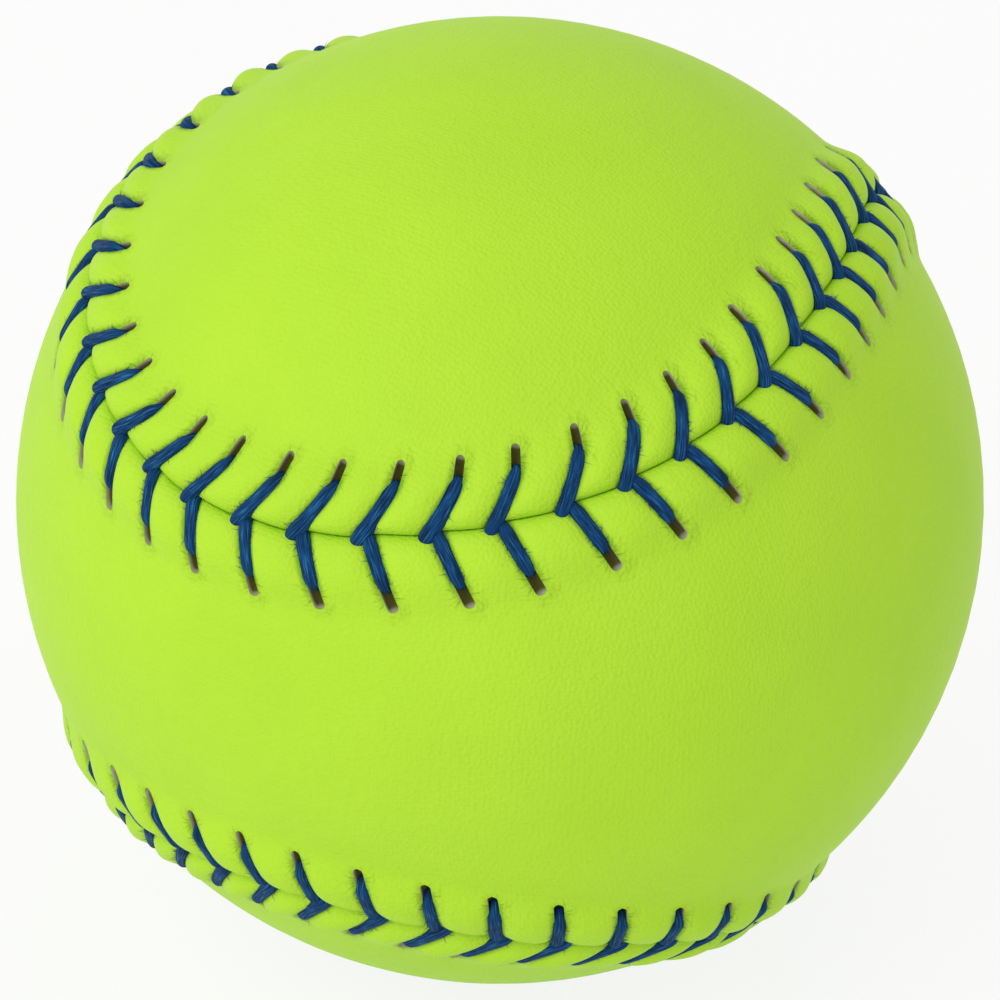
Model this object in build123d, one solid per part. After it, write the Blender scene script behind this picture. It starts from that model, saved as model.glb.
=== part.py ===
from build123d import *
import os
from math import atan, cos, degrees, pi, radians, sin

# A twelve inch softball: a moulded core, its coat of cement, two figure-eight
# leather panels and the two ends of the waxed thread that lace them together.
# Lengths are in millimetres and angles in degrees. The ball's centre is the
# origin. The back panel has its lobes at the top and bottom of the ball, the
# front panel has its lobes at the right and left.
ball_circumference = 304.8
cover_thickness = 1.8
cement_thickness = 0.3
seam_run = 23.8
seam_slant = 13.4
seam_gap = 0.3
stitch_count = 88
stitch_lean = 3.4
stitch_phase = 0.03
strand_spacing = 1.2
thread_diameter = 0.9
thread_clearance = 0.08
thread_bend = 0.6
leg_end = 0.5
tuck_depth = 1.6
tuck_drift = 0.25
tail_length = 2.0
hole_offset = 6.0
hole_length = 2.6
lip_width = 10.0
lip_crest = 3.0
lip_shoulder = 0.5
edge_height = 0.2
channel_ramp = 1.2

# Sizes that follow from the ones above.
ball_radius = ball_circumference / (2 * pi)
inner_radius = ball_radius - cover_thickness
core_radius = inner_radius - cement_thickness
thread_radius = thread_diameter / 2
hole_width = thread_diameter + 2 * thread_clearance
under_radius = inner_radius + thread_radius + 1.5 * thread_clearance
lip_lift = thread_diameter + 3.5 * thread_clearance
over_radius = ball_radius + lip_lift + thread_clearance
channel_end = hole_offset + hole_width
notch_length = strand_spacing + tuck_drift + hole_width
notch_width = 2 * (tuck_depth + thread_radius)

# The seam is four nearly straight runs joined by four arcs, each arc round the
# middle of one lobe. One run and one arc make a quarter, and the other quarters
# repeat it.
crossing = Vector(1, 0, 1).normalized()
slope = Vector(1, 0, -1).normalized()
half_run = seam_run / 2 / ball_radius
slant = radians(seam_slant)
lobe_angle = atan((cos(half_run) + sin(half_run) * sin(slant)) / cos(slant))
heading = slope * sin(slant) - Vector(0, 1, 0) * cos(slant)
run_axis = heading.cross(crossing)
run_start = crossing * cos(half_run) - heading * sin(half_run)
run_end = crossing * cos(half_run) + heading * sin(half_run)
end_heading = heading * cos(half_run) - crossing * sin(half_run)
start_heading = heading * cos(half_run) + crossing * sin(half_run)
lobe_axis = run_end * cos(lobe_angle) + run_axis * sin(lobe_angle)
lobe_out = (run_end - lobe_axis * cos(lobe_angle)).normalized()
lobe_middle = Vector(0, -lobe_axis.Z, lobe_axis.Y)
lobe_sweep = 2 * radians(abs(lobe_out.get_angle(lobe_middle)))


def quarter(vector, count):
    """Carries a direction on to the same place of a later quarter of the seam."""
    for _ in range(count):
        vector = Vector(-vector.Z, -vector.Y, vector.X)
    return vector


class Stretch:
    """One stretch of the seam, turned about an axis through the ball's centre."""

    def __init__(self, axis, start, onward, sweep, back_side):
        out = (start - axis * axis.dot(start)).normalized()
        if axis.cross(out).dot(onward) < 0:
            axis = axis * -1
            back_side = -back_side
        self.plane = Plane((0, 0, 0), x_dir=out, z_dir=axis)
        self.polar = radians(axis.get_angle(start))
        self.sweep = sweep
        self.back_side = back_side
        self.length = sweep * sin(self.polar) * ball_radius

    def section_point(self, across, radius):
        """A point of the cross section, across the seam into the back panel."""
        polar = self.polar - self.back_side * across / ball_radius
        return Vector(radius * sin(polar), 0, radius * cos(polar))

    def point(self, along, across, radius):
        """A point beside the seam at a distance along the stretch."""
        turn = along / self.length * self.sweep
        flat = self.section_point(across, radius)
        return self.plane.from_local_coords(
            Vector(flat.X * cos(turn), flat.X * sin(turn), flat.Z)
        )

    def turned(self, edge):
        """The face that an edge of the cross section makes along the stretch."""
        return self.plane.location * Face.revolve(edge, degrees(self.sweep), Axis.Z)


stretches = []
for count in range(4):
    side = 1 if count % 2 == 0 else -1
    stretches.append(
        Stretch(
            quarter(run_axis, count),
            quarter(run_start, count),
            quarter(start_heading, count),
            2 * half_run,
            side,
        )
    )
    stretches.append(
        Stretch(
            quarter(lobe_axis, count),
            quarter(run_end, count),
            quarter(end_heading, count),
            lobe_sweep,
            side,
        )
    )
seam_length = sum(stretch.length for stretch in stretches)
pitch = seam_length / stitch_count


def beside_seam(along, across, radius):
    """A point at a distance along the whole seam and across it."""
    along = along % seam_length
    for stretch in stretches:
        if along <= stretch.length:
            return stretch.point(along, across, radius)
        along -= stretch.length
    return stretches[0].point(along, across, radius)


def section_arc(stretch, start, end, radius):
    """An edge of the cross section that keeps its distance from the centre."""
    return Edge.make_three_point_arc(
        stretch.section_point(start, radius),
        stretch.section_point((start + end) / 2, radius),
        stretch.section_point(end, radius),
    )


def lip_edges(stretch, side):
    """The raised edge of one panel, lifted by the thread that runs under it."""
    edge = side * seam_gap / 2
    foot = side * lip_width
    ramp_top = side * channel_end
    ramp_foot = side * (channel_end + channel_ramp)
    roof_radius = inner_radius + lip_lift
    outline = [
        stretch.section_point(foot, ball_radius),
        stretch.section_point(side * hole_offset, ball_radius + lip_shoulder * lip_lift),
        stretch.section_point(side * lip_crest, ball_radius + lip_lift),
        stretch.section_point(edge, ball_radius + edge_height),
    ]
    level = stretch.section_point(foot - side * 0.01, ball_radius) - outline[0]
    slopes = [level.normalized(), outline[3].normalized() * -1]
    top = Edge.make_spline(outline, tangents=slopes, scale=False)
    face = Edge.make_line(outline[3], stretch.section_point(edge, roof_radius))
    roof = section_arc(stretch, edge, ramp_top, roof_radius)
    ramp = Edge.make_line(
        stretch.section_point(ramp_top, roof_radius),
        stretch.section_point(ramp_foot, inner_radius),
    )
    sole = section_arc(stretch, ramp_foot, foot, inner_radius)
    return [top, face, roof, ramp, sole]


def field(side, radius):
    """The part of a sphere that lies inside the lip of one panel."""
    edges = []
    for stretch in stretches:
        ends = [stretch.point(stretch.length * part, side * lip_width, radius) for part in (0, 0.5, 1)]
        edges.append(Edge.make_three_point_arc(*ends))
    pole = Vector(1, 0, 0) if side > 0 else Vector(0, 0, 1)
    frame = Plane((0, 0, 0), x_dir=(0, -side, 0), z_dir=pole)
    whole = (frame.location * Sphere(radius)).faces()[0]
    halves = whole.split_by_perimeter(Wire(edges), Keep.BOTH)
    return min(halves, key=lambda half: half.area)


def panel(side):
    """One figure-eight panel of the cover, before its holes are punched."""
    faces = [field(side, ball_radius), field(side, inner_radius)]
    for stretch in stretches:
        faces += [stretch.turned(edge) for edge in lip_edges(stretch, side)]
    return Solid(Shell(faces))


def stitch_start(count):
    """The place along the seam of a pair of holes."""
    return (count + stitch_phase) * pitch - stitch_lean


def leg_points(count, side):
    """The thread from under a hole, up through it, over the lip and into the seam."""
    along = stitch_start(count)
    end = along + stitch_lean + side * strand_spacing / 2
    return [
        beside_seam(along, side * hole_offset, under_radius),
        beside_seam(along, side * hole_offset, over_radius),
        beside_seam(end, side * leg_end, over_radius),
        beside_seam(end + tuck_drift, -side * tuck_depth, under_radius),
    ]


def lacing_path(first_side):
    """The route of one end of the thread, a stitch through each panel in turn."""
    first = stitch_start(0)
    last = stitch_start(stitch_count) - (pitch - stitch_lean) / 2
    route = [beside_seam(first - tail_length, first_side * hole_offset, under_radius)]
    for count in range(stitch_count):
        side = first_side if count % 2 == 0 else -first_side
        route += leg_points(count, side)
    route.append(beside_seam(last, first_side * (tuck_depth + tail_length), under_radius))
    return rounded_path(route)


def rounded_path(route):
    """Straight runs through the points of a route, joined by tangent arcs."""
    edges = []
    here = route[0]
    for before, corner, after in zip(route, route[1:], route[2:]):
        arriving = (corner - before).normalized()
        leaving = (after - corner).normalized()
        bend_start = corner - arriving * thread_bend
        bend_end = corner + leaving * thread_bend
        edges.append(Edge.make_line(here, bend_start))
        edges.append(Edge.make_tangent_arc(bend_start, arriving, bend_end))
        here = bend_end
    edges.append(Edge.make_line(here, route[-1]))
    return Wire(edges)


def strand(first_side):
    """One end of the thread, laced all round the seam."""
    path = lacing_path(first_side)
    start = Plane(origin=path @ 0, z_dir=path % 0)
    return sweep(start * Circle(thread_radius), path=path)


def hole(count, side):
    """A slot punched through the panel, running back from where its thread comes up."""
    along = stitch_start(count)
    middle = beside_seam(along, side * hole_offset, ball_radius)
    seam = beside_seam(along + stitch_lean, 0, ball_radius)
    plane = Plane(origin=middle, x_dir=middle - seam, z_dir=middle)
    slot = Pos((hole_length - hole_width) / 2, 0) * SlotOverall(hole_length, hole_width)
    return extrude(plane * slot, 2 * cover_thickness, both=True)


def groove(count, side):
    """The bed that a stitch presses into the crest of the lip."""
    below, start, end, tucked = leg_points(count, side)
    middle = (start + end) * 0.5
    floor = middle.normalized() * (middle.length - thread_radius - thread_clearance)
    plane = Plane(origin=floor, x_dir=end - start, z_dir=middle)
    bed = Rectangle((end - start).length, hole_width)
    return extrude(plane * bed, 2 * thread_diameter)


def notch(count):
    """The opening in the two edges where both strands go down into the seam."""
    along = stitch_start(count) + stitch_lean + tuck_drift / 2
    middle = beside_seam(along, 0, ball_radius)
    onward = beside_seam(along + seam_gap, 0, ball_radius) - middle
    plane = Plane(origin=middle, x_dir=onward, z_dir=middle)
    return extrude(plane * Rectangle(notch_length, notch_width), 2 * cover_thickness, both=True)


def laced_panel(side):
    """A panel with its holes punched and the thread's beds pressed into it."""
    counts = range(stitch_count)
    punched = panel(side) - [hole(count, side) for count in counts]
    opened = punched - [notch(count) for count in counts]
    return opened - [groove(count, side) for count in counts]


nodes = {
    "core": Sphere(core_radius),
    "cement_coat": Sphere(inner_radius) - Sphere(core_radius),
    "back_cover_panel": laced_panel(1),
    "front_cover_panel": laced_panel(-1),
    "seam_thread_first_end": strand(1),
    "seam_thread_second_end": strand(-1),
}

os.makedirs("parts", exist_ok=True)
for name, solid in nodes.items():
    solid.label = name
    export_step(solid, f"parts/{name}.step", write_pcurves=False)
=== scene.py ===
"""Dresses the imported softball: two pillowed leather panels, laced together with waxed thread."""

import math

import bmesh
import bpy
import numpy as np
from mathutils import Matrix, Vector


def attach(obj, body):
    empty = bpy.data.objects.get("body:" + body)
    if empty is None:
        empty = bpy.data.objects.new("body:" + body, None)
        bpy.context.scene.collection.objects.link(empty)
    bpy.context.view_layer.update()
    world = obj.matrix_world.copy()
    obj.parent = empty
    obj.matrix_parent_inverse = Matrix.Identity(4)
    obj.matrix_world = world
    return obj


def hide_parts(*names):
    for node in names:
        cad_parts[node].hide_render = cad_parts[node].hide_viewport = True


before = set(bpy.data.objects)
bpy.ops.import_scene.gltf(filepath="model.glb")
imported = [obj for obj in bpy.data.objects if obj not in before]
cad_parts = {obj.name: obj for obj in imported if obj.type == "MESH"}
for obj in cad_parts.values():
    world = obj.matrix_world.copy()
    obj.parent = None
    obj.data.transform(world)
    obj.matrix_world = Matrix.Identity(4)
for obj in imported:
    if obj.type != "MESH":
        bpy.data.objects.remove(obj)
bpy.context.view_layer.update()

bl_info = {
    "name": "Softball",
    "version": (1, 0, 0),
    "blender": (4, 5, 0),
    "location": "3D View > Sidebar > Softball",
    "description": "Makes the cover, the lacing and the stage of a softball",
    "category": "Object",
}

MM = 0.001
WHITE = (1, 1, 1, 1)

# Distances into the back panel are positive, and into the front panel negative.
BACK = 1
FRONT = -1

# A panel is a lip along the seam and a smooth field inside it. The seam's straying and the stitches' slide
# are whole near the seam, and both have died away where the lip ends.
LIP_WIDTH = 10.5 * MM
CALM_WIDTH = 10.3 * MM
STRAY_WIDTH = 3 * MM
SLIDE_WIDTH = 7.5 * MM

# Points closer than this are merged.
MERGE = 0.002 * MM


def linear(code):
    """A colour written as an sRGB hex code, in the linear light that shaders take."""
    parts = [int(code[i : i + 2], 16) / 255 for i in (1, 3, 5)]
    light = [p / 12.92 if p <= 0.04045 else ((p + 0.055) / 1.055) ** 2.4 for p in parts]
    return (*light, 1.0)


def length(name, description, default):
    """A length that a user may change, given in millimetres."""
    return bpy.props.FloatProperty(
        name=name, description=description, default=default * MM, unit="LENGTH", precision=5
    )


def colour(name, description, default):
    """A colour that a user may change, given as a hex code."""
    return bpy.props.FloatVectorProperty(
        name=name, description=description, default=linear(default), size=4, subtype="COLOR", min=0, max=1
    )


class SoftballSizes(bpy.types.PropertyGroup):
    """Sizes of the cover and of its lacing."""

    circumference: length("Circumference", "Round the smooth cover", 304.8)
    seam_run: length("Seam run", "Each of the four nearly straight runs of the seam", 23.8)
    seam_slant: bpy.props.FloatProperty(
        name="Seam slant",
        description="How far each run turns from the ball's own axis",
        default=math.radians(13.4),
        subtype="ANGLE",
    )
    stitch_count: bpy.props.IntProperty(
        name="Stitches", description="Pairs of holes round the seam", default=88, min=12
    )
    stitch_phase: bpy.props.FloatProperty(
        name="Stitch phase", description="Where the first stitch falls, in stitches", default=0.03
    )
    back_lean: length("Back lean", "From a hole of the back panel on to where its stitch meets the seam", 3.3)
    front_lean: length(
        "Front lean", "From a hole of the front panel on to where its stitch meets the seam", 1.4
    )
    hole_stagger: length("Hole stagger", "How far the front panel's holes lie ahead of the back panel's", 1.0)
    hole_offset: length("Hole offset", "From the seam to where the thread comes up", 4.45)
    slot_length: length("Slot length", "What shows of a hole beyond its thread", 2.45)
    slot_width: length("Slot width", "Across a hole", 0.95)
    slot_slope: bpy.props.FloatProperty(
        name="Slot slope",
        description="How far a hole leans along the seam, for each length across it",
        default=0.28,
    )
    slot_depth: length("Slot depth", "Down to the thread channel under the cover", 1.0)
    pillow_height: length("Pillow height", "Of the cover between two stitches", 1.55)
    pillow_width: length("Pillow flank", "From a stitch to the flat top of the pillow", 2.5)
    pillow_reach: length("Pillow reach", "From the seam to where the pillows have died away", 7.9)
    pillow_crest: length("Pillow crest", "From the seam to the top of the pillows", 2.4)
    edge_depth: length("Edge depth", "How far the edge goes down into the seam", 0.45)
    thread_width: length("Thread width", "Of a stitch lying on the cover", 1.42)
    thread_height: length("Thread height", "Of a stitch lying on the cover", 1.15)


class SoftballColours(bpy.types.PropertyGroup):
    """Colours of the real materials, and of the painted shade and sheen laid on them."""

    skin: colour("Skin", "Dyed face of the synthetic leather", "#B5E236")
    # Painted shade in the creases beside the stitches and at the turned edge; the dye's random blotches lean
    # towards it too.
    skin_shade_and_blotch: colour("Skin in the creases", "Face of the leather where it is folded", "#6FA314")
    backing: colour("Backing", "Microfibre backing, seen where the leather is cut", "#BBB9A2")
    channel: colour("Channel", "Shade at the bottom of a hole", "#5E5C26")
    thread: colour("Thread", "Dyed fibres of the thread", "#044176")
    # Painted shade in the grooves between the fibres.
    thread_groove_shade: colour("Thread shade", "Between the fibres", "#021B34")
    # Pale wax and loose fibres, with painted sheen on the fibres' tops.
    thread_wax_and_sheen: colour("Thread fuzz", "Loose fibres and wax on the thread", "#2F76A8")
    core: colour("Core", "Moulded polyurethane", "#DAD2BA")
    cement: colour("Cement", "Dried latex", "#E6E0CE")


class SoftballStage(bpy.types.PropertyGroup):
    """The camera's place, the light and the floor."""

    azimuth: bpy.props.FloatProperty(
        name="Azimuth", description="Camera round the ball", default=math.radians(31.2), subtype="ANGLE"
    )
    elevation: bpy.props.FloatProperty(
        name="Elevation", description="Camera above the horizon", default=math.radians(30.35), subtype="ANGLE"
    )
    roll: bpy.props.FloatProperty(
        name="Roll",
        description="Turn of the camera about its view",
        default=math.radians(2.26),
        subtype="ANGLE",
    )
    distance: length("Distance", "From the camera to the ball's centre", 371.83)
    lens: bpy.props.FloatProperty(
        name="Lens", description="Focal length on a 36 mm sensor", default=132.4, unit="CAMERA"
    )
    key: bpy.props.FloatProperty(name="Key", description="Soft lamp at the left", default=1.1, unit="POWER")
    surround: bpy.props.FloatVectorProperty(
        name="Surround",
        description="Light from the room, at the right and at the left",
        default=(0.67, 0.92),
        size=2,
    )
    floor: colour("Floor", "White floor", "#F7F7F5")


class Seam:
    """The seam line on the ball, and places beside it. A distance across it is positive in the back panel."""

    # In radians: half a panel is wider than this everywhere, so a nearer crossing is not its middle line.
    LEAST_REACH = 0.1
    # An axis that leans out of the middle plane by less than this lies in it.
    LEVEL = 1e-6

    def __init__(self, sizes):
        self.radius = sizes.circumference / (2 * math.pi)
        half_run = sizes.seam_run / 2 / self.radius
        slant = sizes.seam_slant
        lobe_angle = math.atan((math.cos(half_run) + math.sin(half_run) * math.sin(slant)) / math.cos(slant))
        crossing = np.array((1, 0, 1)) / math.sqrt(2)
        slope = np.array((1, 0, -1)) / math.sqrt(2)
        heading = slope * math.sin(slant) - np.array((0, 1, 0)) * math.cos(slant)
        run_axis = np.cross(heading, crossing)
        run_start = crossing * math.cos(half_run) - heading * math.sin(half_run)
        run_end = crossing * math.cos(half_run) + heading * math.sin(half_run)
        start_heading = heading * math.cos(half_run) + crossing * math.sin(half_run)
        end_heading = heading * math.cos(half_run) - crossing * math.sin(half_run)
        lobe_axis = run_end * math.cos(lobe_angle) + run_axis * math.sin(lobe_angle)
        lobe_out = run_end - lobe_axis * math.cos(lobe_angle)
        lobe_out /= np.linalg.norm(lobe_out)
        lobe_middle = np.array((0, -lobe_axis[2], lobe_axis[1]))
        lobe_sweep = 2 * math.acos(lobe_out @ lobe_middle)
        stretches = []
        for quarter in range(4):
            side = BACK if quarter % 2 == 0 else FRONT
            stretches.append((run_axis, run_start, start_heading, 2 * half_run, side))
            stretches.append((lobe_axis, run_end, end_heading, lobe_sweep, side))
            run_axis, run_start, start_heading, lobe_axis, run_end, end_heading = (
                np.array((-v[2], -v[1], v[0]))
                for v in (run_axis, run_start, start_heading, lobe_axis, run_end, end_heading)
            )
        self.axes, self.outs, self.onwards = np.zeros((3, len(stretches), 3))
        self.polars, self.sweeps, self.sides = np.zeros((3, len(stretches)))
        for i, (axis, start, onward, sweep, side) in enumerate(stretches):
            out = start - axis * (axis @ start)
            out /= np.linalg.norm(out)
            if np.cross(axis, out) @ onward < 0:
                axis = -axis
                side = -side
            self.axes[i] = axis
            self.outs[i] = out
            self.onwards[i] = np.cross(axis, out)
            self.polars[i] = math.acos(axis @ start)
            self.sweeps[i] = sweep
            self.sides[i] = side
        self.lengths = self.sweeps * np.sin(self.polars) * self.radius
        self.ends = np.cumsum(self.lengths)
        self.length = self.ends[-1]
        # The middle of the first lobe. The cover has the same shape on both sides of it.
        self.mirror = self.lengths[0] + self.lengths[1] / 2

    def stretch(self, along):
        """The stretch that each distance along the seam falls in, and the way out from its axis there."""
        along = np.mod(along, self.length)
        index = np.searchsorted(self.ends, along).clip(0, len(self.ends) - 1)
        part = 1 - (self.ends[index] - along) / self.lengths[index]
        turn = (part * self.sweeps[index])[:, None]
        return index, np.cos(turn) * self.outs[index] + np.sin(turn) * self.onwards[index]

    def wander(self, along):
        """How far the sewn seam strays into the back panel from its even curve."""
        places = np.array((64, 73, 85, 94, 103, 111, 122, 140, 320, 345, 385, 400, 430)) * MM
        strays = np.array((0, -0.5, -0.7, -0.2, 0.7, 1.3, 1.2, 0, 0, -0.6, -1.7, -1.7, 0)) * MM
        return np.interp(along, places, strays, period=self.length)

    def place(self, along, across, height):
        """Points beside the seam, at heights over the smooth ball."""
        index, out = self.stretch(along)
        across = across + self.wander(along) * smooth(CALM_WIDTH, STRAY_WIDTH, abs(across))
        polar = (self.polars[index] - self.sides[index] * across / self.radius)[:, None]
        direction = np.cos(polar) * self.axes[index] + np.sin(polar) * out
        return direction * (self.radius + height)[:, None]

    def reach(self, along, side):
        """How far a panel goes from the seam to its middle line, where its two halves meet."""
        index, out = self.stretch(along)
        middle = np.array((1, 0, 0) if side == BACK else (0, 0, 1))
        tilt = self.axes[index] @ middle
        inward = side * self.sides[index]
        polar = self.polars[index]
        meeting = np.arctan2(-tilt, out @ middle)
        found = np.full(len(index), np.inf)
        for turns in range(-2, 3):
            distance = inward * (polar - meeting - turns * math.pi)
            found = np.minimum(found, np.where(distance > self.LEAST_REACH, distance, np.inf))
        to_lobe = np.where(inward > 0, polar, math.pi - polar)
        return self.radius * np.where(abs(tilt) < self.LEVEL, to_lobe, found)


class Lacing:
    """Where the stitches lie, with the small unevenness of hand sewing."""

    SEED = 12
    # How much the holes differ along the seam, and the pillows in height.
    HOLE_SPREAD = 0.09 * MM
    PILLOW_SPREAD = 0.05
    # Over 1, a leg leans more near the seam than near its hole.
    LEG_BOW = 1.1

    def __init__(self, sizes, seam):
        self.count = sizes.stitch_count
        self.pitch = seam.length / self.count
        self.slot_slope = sizes.slot_slope
        self.offset = sizes.hole_offset
        chance = np.random.RandomState(self.SEED)
        self.shift = chance.normal(0, self.HOLE_SPREAD, self.count)
        self.swell = chance.normal(1, self.PILLOW_SPREAD, (self.count, 2))
        self.lean = np.array((sizes.back_lean, sizes.front_lean))
        self.first = sizes.stitch_phase * self.pitch - sizes.back_lean
        self.stagger = sizes.hole_stagger

    def slide(self, along):
        """How far the stitches have moved along the seam from an even spacing, where the cover stretched."""
        places = np.array(
            (0, 12, 25, 40, 76, 85, 94, 103, 110, 117, 127, 140, 160, 326, 339, 351, 364, 380, 400)
        )
        moves = np.array(
            (4.7, 2.4, 1.25, 0.15, 0, -0.65, -1.5, -1.85, -1.85, -1.3)
            + (0, 1.2, 1.4, 5.8, 4.2, 2.6, 1.6, 0.7, 0)
        )
        return np.interp(along, places * MM, moves * MM, period=self.count * self.pitch)

    def hole(self, number, side):
        """How far along the seam a stitch's hole in one panel is."""
        ahead = 0 if side == BACK else self.stagger
        return self.first + ahead + number * self.pitch + self.shift[number % self.count]

    def leg(self, number, side, across):
        """How far along the seam a leg of a stitch is, at a distance from the seam."""
        row = 0 if side == BACK else 1
        part = 1 - across / self.offset
        forward = self.lean[row] * abs(part) ** self.LEG_BOW
        return self.hole(number, side) + np.where(part > 0, forward, self.slot_slope * self.offset * part)

    def nearest(self, along, side, across):
        """The stitch whose leg is nearest, and how far on from it each place is."""
        guess = np.floor((along - self.leg(0, side, across)) / self.pitch).astype(int)
        best = guess
        gap = along - self.leg(guess, side, across)
        for step in (-1, 1, 2):
            other = along - self.leg(guess + step, side, across)
            best = np.where(abs(other) < abs(gap), guess + step, best)
            gap = np.where(abs(other) < abs(gap), other, gap)
        return best, gap


def smooth(start, end, value):
    """Goes from 0 to 1 between two values, without a corner."""
    part = np.clip((value - start) / (end - start), 0, 1)
    return part * part * (3 - 2 * part)


def node(tree, kind, inputs=None, **settings):
    """Adds a shader node with its settings, and gives its sockets values or links."""
    made = tree.nodes.new(kind)
    for name, value in settings.items():
        setattr(made, name, value)
    for name, value in (inputs or {}).items():
        if isinstance(value, bpy.types.NodeSocket):
            tree.links.new(value, made.inputs[name])
        else:
            made.inputs[name].default_value = value
    return made


def empty_tree(owner):
    """The emptied shader tree of a material or a world."""
    owner.use_nodes = True
    owner.node_tree.nodes.clear()
    return owner.node_tree


def new_material(name, sockets):
    """A material with only a Principled shader, whose sockets hold these values."""
    material = bpy.data.materials.new(name)
    tree = empty_tree(material)
    shader = node(tree, "ShaderNodeBsdfPrincipled", sockets)
    node(tree, "ShaderNodeOutputMaterial", {"Surface": shader.outputs[0]})
    return material, tree, shader


def skin_material(colours):
    """Polyurethane-coated synthetic leather, dyed lime, with a close pebble grain pressed by a roller.

    The eye sees an even face with a low sheen, with painted shade in the creases, and short stress lines at
    the holes.
    """
    material, tree, shader = new_material(
        "pu_leather_lime", {"Roughness": 0.5, "IOR": 1.5, "Specular IOR Level": 0.12}
    )
    # Widths of the blotches in the dye, of the grain's pebbles and of the slow swell under them.
    blotch = 14 * MM
    pebble = 0.4 * MM
    swell = 1.6 * MM
    grain_depth = 0.14 * MM
    # Most of the blotches' noise lies between these values, and it darkens the dye by up to this share.
    noise_low = 0.3
    noise_high = 0.7
    blotch_share = 0.08
    # Stress lines fan out from a place down the hole and change slowly along their length.
    fan_middle = 0.9 * MM
    lines_a_radian = 4.0
    line_length = 2.2 * MM
    line_depth = 0.5 * MM

    place = node(tree, "ShaderNodeTexCoord").outputs["Object"]
    # Painted shade in the creases beside the stitches and at the turned edge, kept on the mesh.
    crease_shade = node(tree, "ShaderNodeAttribute", attribute_name="crease_shade").outputs["Fac"]
    cloud = node(
        tree, "ShaderNodeTexNoise", {"Vector": place, "Scale": 1 / blotch, "Detail": 3.0, "Roughness": 0.6}
    )
    uneven = node(
        tree, "ShaderNodeMapRange",
        {
            "Value": cloud.outputs["Fac"],
            "From Min": noise_low,
            "From Max": noise_high,
            "To Max": blotch_share,
        },
    )
    # The dye darkens by that painted shade and by its own random blotches.
    darkening = node(tree, "ShaderNodeMath", {0: crease_shade, 1: uneven.outputs[0]}, operation="ADD", use_clamp=True)
    tint = node(
        tree, "ShaderNodeMix",
        {"Factor": darkening.outputs[0], "A": colours.skin, "B": colours.skin_shade_and_blotch},
        data_type="RGBA",
    )
    tree.links.new(tint.outputs["Result"], shader.inputs["Base Color"])
    grain = node(tree, "ShaderNodeTexVoronoi", {"Vector": place, "Scale": 1 / pebble, "Randomness": 0.6})
    fine = node(tree, "ShaderNodeTexNoise", {"Vector": place, "Scale": 1 / swell, "Detail": 4.0})
    height = node(
        tree, "ShaderNodeMath", {0: grain.outputs["Distance"], 1: fine.outputs["Fac"]}, operation="ADD"
    )
    bump = node(
        tree, "ShaderNodeBump", {"Strength": 0.6, "Distance": grain_depth, "Height": height.outputs[0]}
    )
    hole = node(tree, "ShaderNodeUVMap", uv_map="hole").outputs[0]
    centred = node(tree, "ShaderNodeVectorMath", {0: hole, 1: (fan_middle, 0, 0)}, operation="SUBTRACT")
    ray = node(tree, "ShaderNodeVectorMath", {0: centred.outputs[0]}, operation="NORMALIZE")
    fan = node(tree, "ShaderNodeVectorMath", {0: ray.outputs[0], "Scale": lines_a_radian}, operation="SCALE")
    out = node(tree, "ShaderNodeVectorMath", {0: hole}, operation="LENGTH").outputs["Value"]
    far = node(tree, "ShaderNodeMath", {0: out, 1: 1 / line_length}, operation="MULTIPLY").outputs[0]
    lines = node(
        tree, "ShaderNodeTexNoise", {"Vector": fan.outputs[0], "W": far, "Scale": 1.0, "Detail": 1.0},
        noise_dimensions="4D",
    )
    strain = node(tree, "ShaderNodeAttribute", attribute_name="strain").outputs["Fac"]
    pull = node(tree, "ShaderNodeMath", {0: lines.outputs["Fac"], 1: strain}, operation="MULTIPLY")
    wrinkle = node(
        tree, "ShaderNodeBump",
        {"Strength": 0.9, "Distance": line_depth, "Height": pull.outputs[0], "Normal": bump.outputs[0]},
    )
    tree.links.new(wrinkle.outputs[0], shader.inputs["Normal"])
    return material


def cut_material(colours):
    """Punched edge of the laminate: a thin lime skin over pale microfibre, with painted shade at the bottom
    of the hole.
    """
    material, tree, shader = new_material("cut_microfibre_backing", {"Roughness": 0.9, "IOR": 1.45})
    # Where the layers begin and end, as shares of a slot's depth.
    skin_end = 0.06
    backing_start = 0.14
    backing_end = 0.34
    # From here down, the hole has its painted shade in full.
    hole_shade_start = 0.65

    depth = node(tree, "ShaderNodeAttribute", attribute_name="depth").outputs["Fac"]
    layers = node(tree, "ShaderNodeValToRGB", {"Fac": depth})
    ramp = layers.color_ramp.elements
    ramp[0].position = skin_end
    ramp[0].color = colours.skin
    ramp[1].position = hole_shade_start
    ramp[1].color = colours.channel
    ramp.new(backing_start).color = colours.backing
    ramp.new(backing_end).color = colours.backing
    tree.links.new(layers.outputs[0], shader.inputs["Base Color"])
    return material


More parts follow.
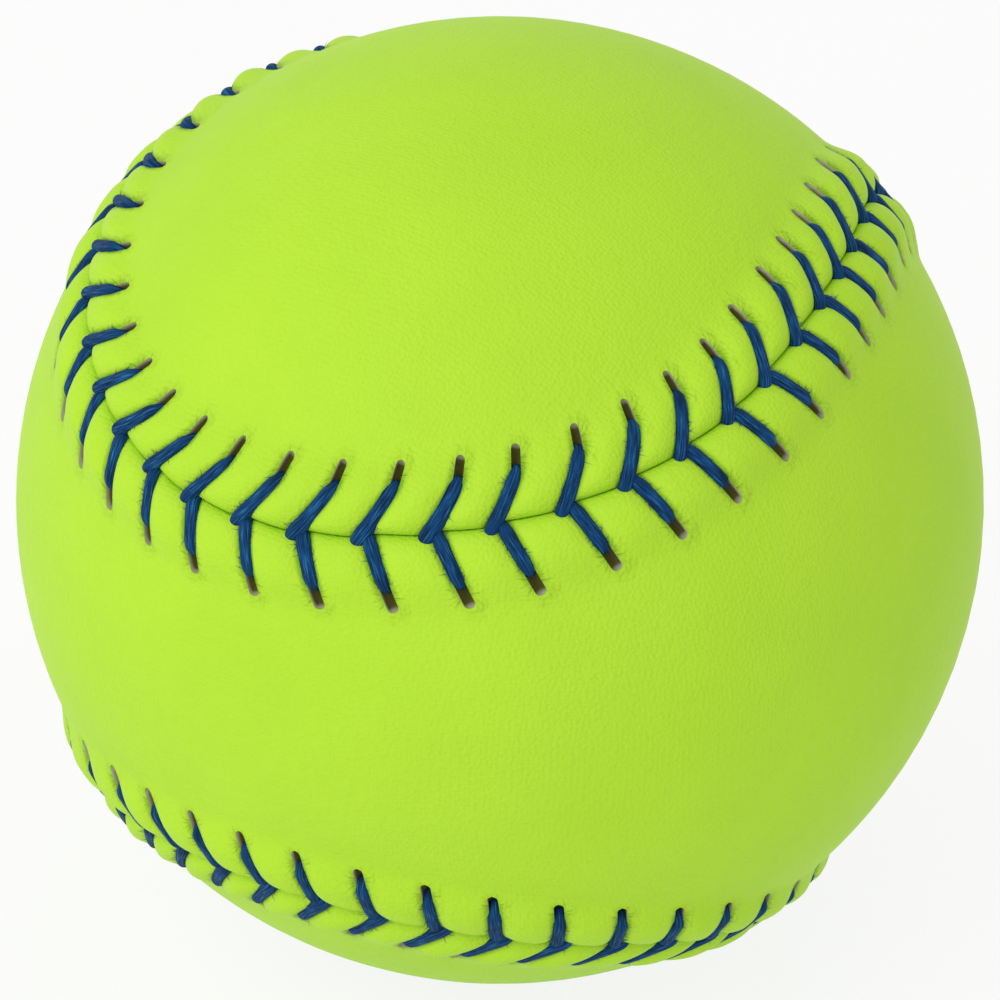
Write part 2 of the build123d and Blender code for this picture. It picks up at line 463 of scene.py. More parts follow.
def thread_material(colours):
    """Waxed multi-fibre thread, dyed blue.

    The eye sees fibres lying side by side along it, with a dull wax sheen and some fuzz. The grooves
    between the fibres carry painted shade, and their tops painted sheen.
    """
    material, tree, shader = new_material(
        "waxed_polyester_thread", {"Roughness": 0.7, "IOR": 1.5, "Specular IOR Level": 0.15}
    )
    # Single fibres are far thinner, too fine to show, so bundles of them are drawn.
    bundle_width = 0.13 * MM
    bundle_length = 2.2 * MM
    groove_depth = 0.15 * MM
    # The values of the fibres' noise that have each colour in full: painted shade in the grooves, the dye,
    # and pale wax with painted sheen on the fibres' tops.
    groove_shade_value = 0.36
    dyed_value = 0.54
    wax_and_sheen_value = 0.72

    along = node(tree, "ShaderNodeUVMap", uv_map="thread").outputs[0]
    stretched = node(
        tree, "ShaderNodeMapping", {"Vector": along, "Scale": (1 / bundle_width, 1 / bundle_length, 1)}
    )
    fibres = node(
        tree, "ShaderNodeTexNoise",
        {"Vector": stretched.outputs[0], "Scale": 1.0, "Detail": 3.0, "Roughness": 0.6},
    )
    shades = node(tree, "ShaderNodeValToRGB", {"Fac": fibres.outputs["Fac"]})
    ramp = shades.color_ramp.elements
    ramp[0].position = groove_shade_value
    ramp[0].color = colours.thread_groove_shade
    ramp[1].position = wax_and_sheen_value
    ramp[1].color = colours.thread_wax_and_sheen
    ramp.new(dyed_value).color = colours.thread
    tree.links.new(shades.outputs[0], shader.inputs["Base Color"])
    bump = node(
        tree, "ShaderNodeBump", {"Strength": 0.9, "Distance": groove_depth, "Height": fibres.outputs["Fac"]}
    )
    tree.links.new(bump.outputs[0], shader.inputs["Normal"])
    return material


def core_material(colours):
    """Rigid polyurethane foam with its moulded skin: pale, dull, and pitted by fine bubbles."""
    material, tree, shader = new_material("moulded_polyurethane", {"Roughness": 0.7, "IOR": 1.5})
    place = node(tree, "ShaderNodeTexCoord").outputs["Object"]
    bubble = 0.8 * MM
    pit_depth = 0.1 * MM
    stain = 10 * MM
    bubbles = node(tree, "ShaderNodeTexVoronoi", {"Vector": place, "Scale": 1 / bubble})
    patch = node(tree, "ShaderNodeTexNoise", {"Vector": place, "Scale": 1 / stain, "Detail": 3.0})
    tint = node(
        tree, "ShaderNodeMix",
        {"Factor": patch.outputs["Fac"], "A": colours.core, "B": colours.cement},
        data_type="RGBA",
    )
    tree.links.new(tint.outputs["Result"], shader.inputs["Base Color"])
    bump = node(
        tree, "ShaderNodeBump",
        {"Strength": 0.3, "Distance": pit_depth, "Height": bubbles.outputs["Distance"]},
    )
    tree.links.new(bump.outputs[0], shader.inputs["Normal"])
    return material


def cement_material(colours):
    """Dried latex cement: cream, satin, with the brush's streaks left in it."""
    material, tree, shader = new_material("dried_latex_cement", {"Roughness": 0.5, "IOR": 1.52})
    place = node(tree, "ShaderNodeTexCoord").outputs["Object"]
    streak_length = 9 * MM
    streak_width = 0.7 * MM
    streak_depth = 0.1 * MM
    brushed = node(
        tree, "ShaderNodeMapping",
        {"Vector": place, "Scale": (1 / streak_length, 1 / streak_length, 1 / streak_width)},
    )
    streaks = node(tree, "ShaderNodeTexNoise", {"Vector": brushed.outputs[0], "Scale": 1.0, "Detail": 4.0})
    tint = node(
        tree, "ShaderNodeMix",
        {"Factor": streaks.outputs["Fac"], "A": colours.cement, "B": colours.backing},
        data_type="RGBA",
    )
    tree.links.new(tint.outputs["Result"], shader.inputs["Base Color"])
    bump = node(
        tree, "ShaderNodeBump", {"Strength": 0.4, "Distance": streak_depth, "Height": streaks.outputs["Fac"]}
    )
    tree.links.new(bump.outputs[0], shader.inputs["Normal"])
    return material


def add_piece(name, mesh, replaced):
    """Puts a finished mesh on the ball in place of its CAD node."""
    piece = bpy.data.objects.new(name, mesh)
    bpy.context.scene.collection.objects.link(piece)
    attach(piece, "root")
    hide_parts(replaced)


# The lip's grid has columns over each slot, placed by shares of half its width, and others between two slots.
SLOT_COLUMNS = np.array((-1, -0.88, -0.62, -0.32, 0, 0.32, 0.62, 0.88, 1))
BARE_COLUMNS = 17
COLUMNS = len(SLOT_COLUMNS) + BARE_COLUMNS

# Its rows start with the turned edge, of which the first are sunk in the seam. One row follows the near ends
# of the slots and one the far ends. The outer rows go on to the end of the lip, and there the columns become
# even, with the first one of each slot this many before the line of its stitch.
EDGE_ROWS = np.array((0.02, 0.02, 0.02, 0.05, 0.1, 0.17, 0.26, 0.37, 0.5, 0.65, 0.82, 1.02, 1.25, 1.5)) * MM
SUNK_ROWS = 2
HEM_ROW = len(EDGE_ROWS) - 1
NEAR_ROW = HEM_ROW + 8
FAR_ROW = NEAR_ROW + 8
OUTER_STEPS = np.array((0, 0.08, 0.2, 0.36, 0.56, 0.78, 1))
LAST_ROW = FAR_ROW + len(OUTER_STEPS) - 1
EVEN_LEAD = 2

# The field has fewer columns for each stitch, and starts a little further in than the lip ends.
FIELD_COLUMNS = 5
FIELD_STEPS = np.array((0, 0.06, 0.13, 0.21, 0.31, 0.42, 0.54, 0.66, 0.78, 0.9, 1))
JOIN_WIDTH = 0.8 * MM

# How round and how full a pillow's flanks are, how far its top runs level past the crest, how far a stitch
# presses in, and how far the turned edge drops.
FLANK_ROUND = 2.1
FLANK_FILL = 0.72
CROWN_LENGTH = 0.6 * MM
BED_DEPTH = 0.05 * MM
EDGE_DROP = 0.15 * MM

# Painted shade in the crease beside a stitch begins and is darkest at these shares of the flank.
# The turned edge gets painted shade too.
SHADE_START = 0.4
SHADE_FULL = 0.2
EDGE_SHADE = 0.15

# How far each stitch pulls the seam line aside, from which share of the pitch on it goes back, and how fast
# the pull dies away from the seam.
ZIGZAG = 0.42 * MM
ZIGZAG_TURN = 0.8
ZIGZAG_FADE = 1.4 * MM

# The pull round a hole: how far it reaches, where it is whole, how far ahead of the hole it starts, and where
# it grows from the seam and dies away towards the field.
STRAIN_REACH = 1.3 * MM
STRAIN_FULL = 0.1 * MM
STRAIN_AHEAD = 0.4 * MM
STRAIN_FROM_SEAM = (1.4 * MM, 2.6 * MM)
STRAIN_TO_FIELD = (9.0 * MM, 7.6 * MM)

# By shares of a slot's length: its floor rises from here to its far end, by a share of the depth, and its rim
# is in shade near the thread and pale at the far end.
RISE_START = 0.62
FLOOR_RISE = 0.7
RIM_DARK = 0.55
RIM_PALE = 0.95
RIM_SHADE = 0.3


def skin_heights(sizes, lacing, side, along, across):
    """How high the skin stands at each place of the lip, and how much painted shade it gets in the creases
    and at the turned edge.
    """
    row = 0 if side == BACK else 1
    number, gap = lacing.nearest(along, side, across)
    slope = lacing.offset / math.hypot(lacing.offset, lacing.lean[row])
    from_thread = np.clip(abs(gap) * slope / sizes.pillow_width, 0, 1)
    pillow = (1 - (1 - from_thread) ** FLANK_ROUND) ** FLANK_FILL
    after = np.where(gap > 0, number, number - 1) % lacing.count
    crown = sizes.pillow_crest + CROWN_LENGTH
    fade = np.cos(math.pi / 2 * np.clip((across - crown) / (sizes.pillow_reach - crown), 0, 1)) ** 2
    turned = np.sqrt(1 - (1 - np.clip(across / sizes.pillow_crest, 0, 1)) ** 2)
    rise = (sizes.pillow_height * lacing.swell[after, row] * pillow - BED_DEPTH) * fade
    height = rise * turned - EDGE_DROP * (1 - turned)
    # Painted shade beside each stitch and at the turned edge.
    crease_shade = smooth(SHADE_START, SHADE_FULL, from_thread) * fade + EDGE_SHADE * (1 - turned)
    return height, np.clip(crease_shade, 0, 1)


def seam_zigzag(lacing, along, across):
    """How far the seam line is pulled into the back panel by each stitch, in a zigzag."""
    part = np.mod((along - lacing.first - lacing.lean[0]) / lacing.pitch, 1)
    return ZIGZAG * part * smooth(1, ZIGZAG_TURN, part) * np.exp(-across / ZIGZAG_FADE)


def slot_place(sizes, lacing, side, number, along, across):
    """Where each place lies by a numbered hole: how far down the hole, and how far across it."""
    on = along - lacing.hole(number, side)
    out = across - lacing.offset
    lean = math.hypot(sizes.slot_slope, 1)
    return (out - sizes.slot_slope * on) / lean, (on + sizes.slot_slope * out) / lean


def lip_places(sizes, seam, lacing, side, column, row):
    """Where the crossings of the lip's grid lie.

    Its columns run with the stitches, its rows close round the holes, and its outer columns are even.
    """
    number, step = np.divmod(column, COLUMNS)
    first = round((seam.mirror - lacing.hole(0, side)) / lacing.pitch)
    number = number + first
    last = len(SLOT_COLUMNS) - 1
    lean = math.hypot(sizes.slot_slope, 1)
    half = sizes.slot_width / 2
    hole = lacing.hole(number, side)
    bare = lacing.hole(number + 1, side) - hole - 2 * half * lean
    past = np.clip((step - last) / (COLUMNS - last), 0, 1)
    aside = half * SLOT_COLUMNS[np.minimum(step, last)]
    bulge = np.sqrt(half * half - aside * aside)
    tilt = sizes.slot_slope * (aside - 2 * half * past)
    near = lacing.offset + (tilt - bulge) / lean
    far = lacing.offset + (tilt + bulge + sizes.slot_length - half) / lean
    across = EDGE_ROWS[np.minimum(row, HEM_ROW)]
    across = across + (near - EDGE_ROWS[HEM_ROW]) * np.clip((row - HEM_ROW) / (NEAR_ROW - HEM_ROW), 0, 1)
    across = across + (far - near) * np.clip((row - NEAR_ROW) / (FAR_ROW - NEAR_ROW), 0, 1)
    outer = np.clip(row - FAR_ROW, 0, None)
    across = across + (LIP_WIDTH - far) * OUTER_STEPS[outer]
    along = hole + aside * lean + bare * past + lacing.leg(0, side, across) - lacing.hole(0, side)
    # The even columns are counted from the mirror line, as the field's are.
    ahead = lacing.leg(first, side, LIP_WIDTH) - seam.mirror
    skipped = round(ahead / lacing.pitch * COLUMNS) - EVEN_LEAD
    even = seam.mirror + (column + skipped) / COLUMNS * lacing.pitch
    return along + (even - along) * OUTER_STEPS[outer], across


def hole_strain(sizes, lacing, side, along, across):
    """How hard the skin is pulled at each place by the thread that comes up through its nearest hole."""
    number = lacing.nearest(along, side, across)[0]
    down, aside = slot_place(sizes, lacing, side, number, along, across)
    half = sizes.slot_width / 2
    middle = np.clip(down, -STRAIN_AHEAD, sizes.slot_length - half)
    distance = np.hypot(down - middle, aside) - half
    fade = smooth(*STRAIN_FROM_SEAM, across) * smooth(*STRAIN_TO_FIELD, across)
    return smooth(STRAIN_REACH, STRAIN_FULL, distance) * fade


def lay_hole_map(bm, sizes, lacing, side, along, across):
    """Gives each corner of the lip its place down and across the nearest hole, for the stress lines there."""
    layer = bm.loops.layers.uv["hole"]
    corners = np.array([[v.index for v in face.verts] for face in bm.faces])
    number = lacing.nearest(along[corners].mean(1), side, across[corners].mean(1))[0][:, None]
    down, aside = slot_place(sizes, lacing, side, number, along[corners], across[corners])
    for face, places in zip(bm.faces, np.stack((down, aside), axis=2)):
        for loop, place in zip(face.loops, places):
            loop[layer].uv = place


def grid_places(bm, columns, rows):
    """Lays a grid in the bmesh and gives its vertices, with the column and row of each."""
    made = bmesh.ops.create_grid(bm, x_segments=columns, y_segments=rows, size=0.5)["verts"]
    flat = np.array([vertex.co[:2] for vertex in made]) + 0.5
    return made, np.rint(flat[:, 0] * columns).astype(int), np.rint(flat[:, 1] * rows).astype(int)


def make_lip(bm, sizes, seam, lacing, side):
    """The pillowed band along the seam, with its turned edge and its punched holes."""
    made, column, row = grid_places(bm, COLUMNS * lacing.count, LAST_ROW)
    along, across = lip_places(sizes, seam, lacing, side, column, row)
    sunk = sizes.edge_depth * np.clip(1 - row / SUNK_ROWS, 0, 1)
    # The skin's height, and its painted shade in the creases and at the turned edge.
    height, crease_shade = skin_heights(sizes, lacing, side, along, across)
    pulled = hole_strain(sizes, lacing, side, along, across)
    onward = along + lacing.slide(along) * smooth(CALM_WIDTH, SLIDE_WIDTH, across)
    points = seam.place(onward, side * across + seam_zigzag(lacing, along, across), height - sunk)
    # Each point keeps its painted shade and how hard the thread pulls it.
    shade_layer = bm.verts.layers.float["crease_shade"]
    strains = bm.verts.layers.float["strain"]
    for vertex, point, darkening, pull in zip(made, points, crease_shade, pulled):
        vertex.co = point
        vertex[shade_layer] = darkening
        vertex[strains] = pull
    bm.verts.index_update()
    lay_hole_map(bm, sizes, lacing, side, along, across)
    punched = (column % COLUMNS < len(SLOT_COLUMNS)) & (row >= NEAR_ROW) & (row <= FAR_ROW)
    number = lacing.nearest(along, side, across)[0]
    down = slot_place(sizes, lacing, side, number, along, across)[0] / sizes.slot_length
    punch_holes(bm, sizes, made, punched, down)
    return made, row


def punch_holes(bm, sizes, made, punched, down):
    """Pushes the slots' faces in, and marks how deep each of their points looks."""
    depths = bm.verts.layers.float["depth"]
    rims = [v for v, cut in zip(made, punched) if cut]
    for vertex, share in zip(rims, 1 - FLOOR_RISE * smooth(RISE_START, 1, down[punched])):
        vertex[depths] = share
    holes = [f for f in bm.faces if all(punched[v.index] for v in f.verts)]
    pushed = bmesh.ops.extrude_face_region(bm, geom=holes)["geom"]
    bmesh.ops.delete(bm, geom=[f for f in holes if f.is_valid], context="FACES")
    floors = [f for f in pushed if isinstance(f, bmesh.types.BMFace)]
    for vertex in (v for v in pushed if isinstance(v, bmesh.types.BMVert)):
        vertex.co -= vertex.co.normalized() * sizes.slot_depth * vertex[depths]
    for vertex, shade in zip(rims, RIM_SHADE * smooth(RIM_PALE, RIM_DARK, down[punched])):
        if vertex.is_valid:
            vertex[depths] = shade
    for face in floors:
        face.material_index = 1
        for edge in face.edges:
            for wall in edge.link_faces:
                wall.material_index = 1
    for face in (f for f in bm.faces if f.material_index == 1):
        for edge in face.edges:
            if any(f.material_index == 0 for f in edge.link_faces):
                edge.smooth = False


def make_field(bm, seam, lacing, side):
    """The smooth part of a panel, from its lip to its middle line."""
    columns = FIELD_COLUMNS * lacing.count
    made, column, row = grid_places(bm, columns, len(FIELD_STEPS) - 1)
    along = seam.mirror + column / columns * seam.length
    start = LIP_WIDTH + JOIN_WIDTH
    across = start + (seam.reach(along, side) - start) * FIELD_STEPS[row]
    points = seam.place(along, side * across, np.zeros(len(along)))
    for vertex, point in zip(made, points):
        vertex.co = point
    return made, row


def loop_edges(bm, vertices):
    """The edges whose two ends are both among these vertices."""
    chosen = set(vertices)
    return [e for e in bm.edges if e.verts[0] in chosen and e.verts[1] in chosen]


def make_panel(name, side, sizes, colours):
    """One figure-eight panel: its lip, its smooth field, and the strip that joins them."""
    seam = Seam(sizes)
    lacing = Lacing(sizes, seam)
    bm = bmesh.new()
    # Painted shade in the creases, kept on each point.
    bm.verts.layers.float.new("crease_shade")
    bm.verts.layers.float.new("depth")
    bm.verts.layers.float.new("strain")
    bm.loops.layers.uv.new("hole")
    lip, lip_row = make_lip(bm, sizes, seam, lacing, side)
    field, field_row = make_field(bm, seam, lacing, side)
    outer = [v for v, r in zip(lip, lip_row) if r == LAST_ROW]
    inner = [v for v, r in zip(field, field_row) if r == 0]
    edges = loop_edges(bm, outer) + loop_edges(bm, inner)
    bmesh.ops.remove_doubles(bm, verts=bm.verts, dist=MERGE)
    edges = [e for e in edges if e.is_valid]
    bmesh.ops.bridge_loops(bm, edges=edges)
    bmesh.ops.holes_fill(bm, edges=[e for e in bm.edges if e.is_boundary], sides=8)
    bmesh.ops.recalc_face_normals(bm, faces=bm.faces)
    if sum(f.normal.dot(f.calc_center_median()) for f in bm.faces) < 0:
        bmesh.ops.reverse_faces(bm, faces=bm.faces)
    for face in bm.faces:
        face.smooth = True
    mesh = bpy.data.meshes.new(name)
    bm.to_mesh(mesh)
    bm.free()
    mesh.materials.append(bpy.data.materials.get("pu_leather_lime") or skin_material(colours))
    mesh.materials.append(bpy.data.materials.get("cut_microfibre_backing") or cut_material(colours))
    return mesh


# Rings along a stitch's leg and along the hidden run to the next hole, and the thread's sides.
LEG_RINGS = 34
HIDDEN_RINGS = 6
SIDES = 16

# Over the smooth ball, the thread's middle lies this high on a leg, and at both ends it dives this far. The
# higher the power, the later the dive.
THREAD_RISE = 0.57 * MM
THREAD_DIVE = 1.89 * MM
HOLE_POWER = 9
SEAM_POWER = 10

# A leg comes up this far outside the thread's place in its hole, and goes down this far beyond the seam line.
LEG_START = 0.25 * MM
TUCKS = {BACK: 0.75 * MM, FRONT: 0.35 * MM}

# Shares of the thread's width at the hole and out of sight, and by how much it narrows towards the seam. It
# is whole between these shares of the leg.
HOLE_BULK = 0.8
HIDDEN_BULK = 0.7
SEAM_NARROWING = 0.22
WHOLE_FROM = 0.3
WHOLE_TO = 0.75

# Loose fibres on each leg. Real ones are thinner, and these are drawn as thick as they need to show.
FUZZ = 14
FUZZ_SEED = 31
FIBRE_ROOT = 0.028 * MM
FIBRE_TIP = 0.006 * MM
FIBRE_SIDES = 3
FIBRE_LENGTHS = np.array((0.3, 0.85)) * MM
# Where on a leg they grow, how far from its middle line and how high, and how they stand and slant.
FIBRE_PLACES = (0.12, 0.9)
FIBRE_ASIDE = 0.42
FIBRE_HEIGHT = 0.25 * MM
FIBRE_STAND = (0.1, 0.9)
FIBRE_SLANT = 1.1


def strand_route(sizes, lacing, first_side):
    """The thread's way through every stitch: distances along and across the seam, heights and bulk."""
    part = np.linspace(0, 1, LEG_RINGS)
    hidden = np.linspace(0, 1, HIDDEN_RINGS + 2)[1:-1]
    rise = sizes.hole_offset + LEG_START
    from_middle = 2 * part - 1
    dip = abs(from_middle) ** np.where(from_middle < 0, HOLE_POWER, SEAM_POWER)
    grown = HOLE_BULK + (1 - HOLE_BULK) * smooth(0, WHOLE_FROM, part)
    girth = grown - SEAM_NARROWING * smooth(WHOLE_TO, 1, part)
    along, across, height, bulk = [], [], [], []
    for number in range(lacing.count):
        side = first_side if number % 2 == 0 else -first_side
        row = 0 if side == BACK else 1
        out = rise + (-TUCKS[side] - rise) * part
        along.append(lacing.leg(number, side, out))
        across.append(side * out)
        height.append(THREAD_RISE - THREAD_DIVE * dip)
        bulk.append(lacing.swell[number, row] * girth)
        start = (along[-1][-1], across[-1][-1])
        end = (lacing.leg(number + 1, -side, rise), -side * rise)
        along.append(start[0] + (end[0] - start[0]) * hidden)
        across.append(start[1] + (end[1] - start[1]) * hidden)
        height.append(np.full(HIDDEN_RINGS, THREAD_RISE - THREAD_DIVE))
        bulk.append(np.full(HIDDEN_RINGS, HIDDEN_BULK))
    return [np.concatenate(values) for values in (along, across, height, bulk)]


def strand_axes(centres):
    """The ways onward, aside and up at each ring of a strand."""
    onward = np.gradient(centres, axis=0)
    onward /= np.linalg.norm(onward, axis=1)[:, None]
    up = centres / np.linalg.norm(centres, axis=1)[:, None]
    aside = np.cross(onward, up)
    aside /= np.linalg.norm(aside, axis=1)[:, None]
    return onward, aside, np.cross(aside, onward)


def add_fibre(bm, root, way, reach):
    """One loose fibre that stands off the side of the thread, tapered to a point."""
    way = Vector(way).normalized()
    turn = way.to_track_quat("Z", "Y").to_matrix().to_4x4()
    bmesh.ops.create_cone(
        bm,
        cap_ends=True,
        segments=FIBRE_SIDES,
        radius1=FIBRE_ROOT,
        radius2=FIBRE_TIP,
        depth=reach,
        matrix=Matrix.Translation(Vector(root) + way * reach / 2) @ turn,
    )


def make_strand(name, first_side, sizes, colours):
    """One end of the thread, laced all round the seam."""
    seam = Seam(sizes)
    lacing = Lacing(sizes, seam)
    along, across, height, bulk = strand_route(sizes, lacing, first_side)
    centres = seam.place(along + lacing.slide(along), across, height)
    onward, aside, up = strand_axes(centres)
    run = np.concatenate(((0,), np.cumsum(np.linalg.norm(np.diff(centres, axis=0), axis=1))))
    bm = bmesh.new()
    made, ring, step = grid_places(bm, len(centres) - 1, SIDES)
    turn = 2 * math.pi * step / SIDES
    wide = (sizes.thread_width / 2 * bulk[ring] * np.cos(turn))[:, None]
    tall = (sizes.thread_height / 2 * np.sin(turn))[:, None]
    points = centres[ring] + aside[ring] * wide + up[ring] * tall
    girth = math.pi * (sizes.thread_width + sizes.thread_height) / 2
    flat = np.column_stack((step / SIDES * girth, run[ring]))
    bm.verts.index_update()
    layer = bm.loops.layers.uv.new("thread")
    for face in bm.faces:
        face.smooth = True
        for loop in face.loops:
            loop[layer].uv = flat[loop.vert.index]
    for vertex, point in zip(made, points):
        vertex.co = point
    bmesh.ops.remove_doubles(bm, verts=bm.verts, dist=MERGE)
    bmesh.ops.holes_fill(bm, edges=[e for e in bm.edges if e.is_boundary])
    bmesh.ops.recalc_face_normals(bm, faces=bm.faces)
    mesh = bpy.data.meshes.new(name)
    bm.to_mesh(mesh)

    # The fibres are made in the emptied bmesh, because adding them to the full one is slow.
    bm.clear()
    chance = np.random.RandomState(FUZZ_SEED + first_side)
    from_middle = sizes.thread_width * FIBRE_ASIDE
    for number in range(lacing.count):
        for part in chance.uniform(*FIBRE_PLACES, FUZZ):
            at = number * (LEG_RINGS + HIDDEN_RINGS) + int(part * LEG_RINGS)
            out = aside[at] * chance.choice((-1, 1))
            root = centres[at] + out * from_middle * bulk[at] + up[at] * FIBRE_HEIGHT
            way = out + up[at] * chance.uniform(*FIBRE_STAND) + onward[at] * chance.normal(0, FIBRE_SLANT)
            add_fibre(bm, root, way, chance.uniform(*FIBRE_LENGTHS))
    bm.from_mesh(mesh)
    bm.to_mesh(mesh)
    bm.free()
    mesh.materials.append(bpy.data.materials.get("waxed_polyester_thread") or thread_material(colours))
    return mesh


# The key lamp's way from the ball, to the right, up and towards the camera.
# Its distance and its size are in metres.
KEY_WAY = (-0.45, 0.2, 0.75)
KEY_DISTANCE = 0.6
KEY_SIZE = 0.5

SENSOR_WIDTH = 36

# The floor's radius in metres, and its gap to the ball. Rays that show the floor see this share of plain
# white, and the rest keeps the ball's shadow.
FLOOR_RADIUS = 1.5
FLOOR_SIDES = 96
FLOOR_GAP = 0.2 * MM
FLOOR_WHITE = 0.85


def place_camera(scene, stage):
    """Stands the camera in its place, and gives its ways right, up and back."""
    around = Vector((math.sin(stage.azimuth), -math.cos(stage.azimuth), 0)) * math.cos(stage.elevation)
    back = around + Vector((0, 0, math.sin(stage.elevation)))
    level = Vector((0, 0, 1)).cross(back).normalized()
    upright = back.cross(level)
    right = level * math.cos(stage.roll) + upright * math.sin(stage.roll)
    up = upright * math.cos(stage.roll) - level * math.sin(stage.roll)
    camera = bpy.data.objects.new("camera", bpy.data.cameras.new("camera"))
    camera.data.lens = stage.lens
    camera.data.sensor_width = SENSOR_WIDTH
    turn = Matrix((right, up, back)).transposed().to_4x4()
    camera.matrix_world = Matrix.Translation(back * stage.distance) @ turn
    scene.collection.objects.link(camera)
    scene.camera = camera
    return right, up, back


def add_key(scene, stage, right, up, back):
    """A large soft lamp at the left of the camera."""
    lamp = bpy.data.lights.new("key", "AREA")
    lamp.shape = "DISK"
    lamp.size = KEY_SIZE
    lamp.energy = stage.key
    key = bpy.data.objects.new("key", lamp)
    way = (right * KEY_WAY[0] + up * KEY_WAY[1] + back * KEY_WAY[2]).normalized()
    key.location = way * KEY_DISTANCE
    key.rotation_mode = "QUATERNION"
    key.rotation_quaternion = way.to_track_quat("Z", "Y")
    scene.collection.objects.link(key)


def shown_rays(tree):
    """Is 1 for the rays that show a surface: from the camera, off a gloss or through glass."""
    rays = node(tree, "ShaderNodeLightPath").outputs
    shown = rays["Is Camera Ray"]
    for kind in ("Is Glossy Ray", "Is Transmission Ray"):
        shown = node(tree, "ShaderNodeMath", {0: shown, 1: rays[kind]}, operation="MAXIMUM").outputs[0]
    return shown


def floor_material(stage):
    """Matt white paint, which shows nearly as white as the room and keeps a soft shadow."""
    material = bpy.data.materials.new("white_floor")
    tree = empty_tree(material)
    share = node(tree, "ShaderNodeMath", {0: shown_rays(tree), 1: FLOOR_WHITE}, operation="MULTIPLY")
    paint = node(tree, "ShaderNodeBsdfDiffuse", {"Color": stage.floor})
    white = node(tree, "ShaderNodeEmission", {"Color": WHITE, "Strength": 1.0})
    mixed = node(
        tree, "ShaderNodeMixShader", {0: share.outputs[0], 1: paint.outputs[0], 2: white.outputs[0]}
    )
    node(tree, "ShaderNodeOutputMaterial", {"Surface": mixed.outputs[0]})
    return material


def add_floor(scene, stage, radius):
    """A round floor just under the ball."""
    bm = bmesh.new()
    bmesh.ops.create_circle(bm, cap_ends=True, segments=FLOOR_SIDES, radius=FLOOR_RADIUS)
    bmesh.ops.translate(bm, verts=bm.verts, vec=(0, 0, -radius - FLOOR_GAP))
    mesh = bpy.data.meshes.new("floor")
    bm.to_mesh(mesh)
    bm.free()
    mesh.materials.append(floor_material(stage))
    floor = bpy.data.objects.new("floor", mesh)
    scene.collection.objects.link(floor)


def add_room(scene, stage, right):
    """A white room, which lights the ball a little more from the left than from the right."""
    world = bpy.data.worlds.new("white_room")
    tree = empty_tree(world)
    way = node(tree, "ShaderNodeTexCoord").outputs["Generated"]
    leftward = node(tree, "ShaderNodeVectorMath", {0: way, 1: -right}, operation="DOT_PRODUCT")
    level = node(
        tree, "ShaderNodeMapRange",
        {
            "Value": leftward.outputs["Value"],
            "From Min": -1.0,
            "To Min": stage.surround[0],
            "To Max": stage.surround[1],
        },
    )
    room = node(tree, "ShaderNodeBackground", {"Color": WHITE, "Strength": level.outputs[0]})
    white = node(tree, "ShaderNodeBackground", {"Color": WHITE, "Strength": 1.0})
    mixed = node(
        tree, "ShaderNodeMixShader", {0: shown_rays(tree), 1: room.outputs[0], 2: white.outputs[0]}
    )
    node(tree, "ShaderNodeOutputWorld", {"Surface": mixed.outputs[0]})
    scene.world = world


class SOFTBALL_OT_cover(bpy.types.Operator):
    """Make the two leather panels of the cover"""

    bl_idname = "softball.cover"
    bl_label = "Cover panels"

    def execute(self, context):
        sizes = context.scene.softball_sizes
        colours = context.scene.softball_colours
        for name, side in (("back_cover_panel", BACK), ("front_cover_panel", FRONT)):
            mesh = make_panel(f"{name}_leather", side, sizes, colours)
            add_piece(f"{name}_leather", mesh, name)
        return {"FINISHED"}


class SOFTBALL_OT_lacing(bpy.types.Operator):
    """Lace the panels together with the two ends of the thread"""

    bl_idname = "softball.lacing"
    bl_label = "Lacing"

    def execute(self, context):
        sizes = context.scene.softball_sizes
        colours = context.scene.softball_colours
        for name, side in (("seam_thread_first_end", BACK), ("seam_thread_second_end", FRONT)):
            mesh = make_strand(f"{name}_waxed", side, sizes, colours)
            add_piece(f"{name}_waxed", mesh, name)
        return {"FINISHED"}


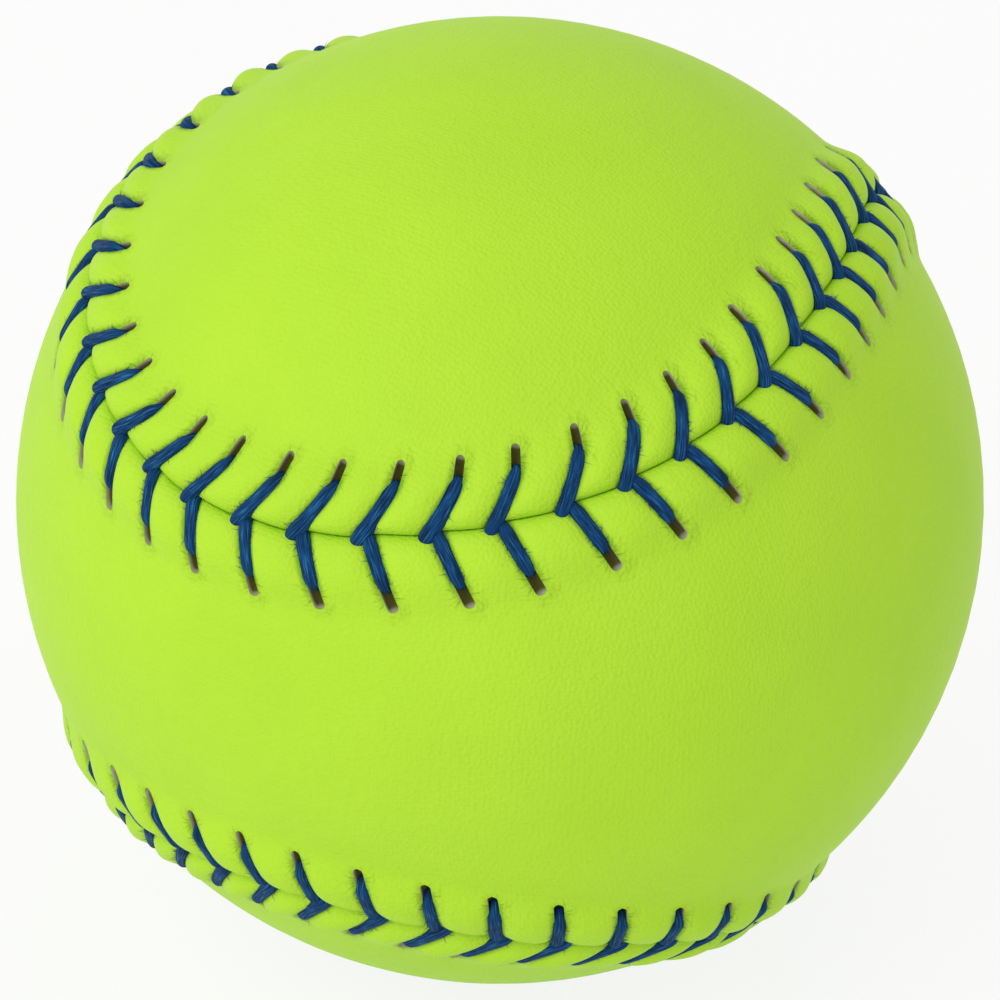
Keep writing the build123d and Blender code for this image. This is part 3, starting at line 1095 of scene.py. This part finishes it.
class SOFTBALL_OT_inside(bpy.types.Operator):
    """Finish the core and its coat of cement, which keep their CAD shapes"""

    bl_idname = "softball.inside"
    bl_label = "Core and cement"

    def execute(self, context):
        colours = context.scene.softball_colours
        for name, material in (("core", core_material(colours)), ("cement_coat", cement_material(colours))):
            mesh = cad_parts[name].data
            mesh.materials.clear()
            mesh.materials.append(material)
        return {"FINISHED"}


class SOFTBALL_OT_stage(bpy.types.Operator):
    """Set the floor, the soft light and the camera"""

    bl_idname = "softball.stage"
    bl_label = "Stage"

    def execute(self, context):
        scene = context.scene
        stage = scene.softball_stage
        right, up, back = place_camera(scene, stage)
        add_key(scene, stage, right, up, back)
        add_floor(scene, stage, scene.softball_sizes.circumference / (2 * math.pi))
        add_room(scene, stage, right)
        scene.view_settings.view_transform = "Standard"
        return {"FINISHED"}


class SOFTBALL_PT_panel(bpy.types.Panel):
    """Softball tools in the sidebar"""

    bl_label = "Softball"
    bl_idname = "SOFTBALL_PT_panel"
    bl_space_type = "VIEW_3D"
    bl_region_type = "UI"
    bl_category = "Softball"

    def draw(self, context):
        scene = context.scene
        for group in (scene.softball_sizes, scene.softball_colours, scene.softball_stage):
            box = self.layout.box()
            for name in group.__annotations__:
                box.prop(group, name)
        for operator in OPERATORS:
            self.layout.operator(operator.bl_idname)


GROUPS = (SoftballSizes, SoftballColours, SoftballStage)
OPERATORS = (SOFTBALL_OT_stage, SOFTBALL_OT_inside, SOFTBALL_OT_cover, SOFTBALL_OT_lacing)


def register():
    """Adds the classes and the scene's settings."""
    for cls in (*GROUPS, *OPERATORS, SOFTBALL_PT_panel):
        bpy.utils.register_class(cls)
    bpy.types.Scene.softball_sizes = bpy.props.PointerProperty(type=SoftballSizes)
    bpy.types.Scene.softball_colours = bpy.props.PointerProperty(type=SoftballColours)
    bpy.types.Scene.softball_stage = bpy.props.PointerProperty(type=SoftballStage)


def unregister():
    """Takes the settings and the classes away."""
    del bpy.types.Scene.softball_stage
    del bpy.types.Scene.softball_colours
    del bpy.types.Scene.softball_sizes
    for cls in (SOFTBALL_PT_panel, *reversed(OPERATORS), *reversed(GROUPS)):
        bpy.utils.unregister_class(cls)


def main():
    """Makes the ball and its stage."""
    register()
    bpy.ops.softball.stage()
    bpy.ops.softball.inside()
    bpy.ops.softball.cover()
    bpy.ops.softball.lacing()


if __name__ == "__main__":
    main()
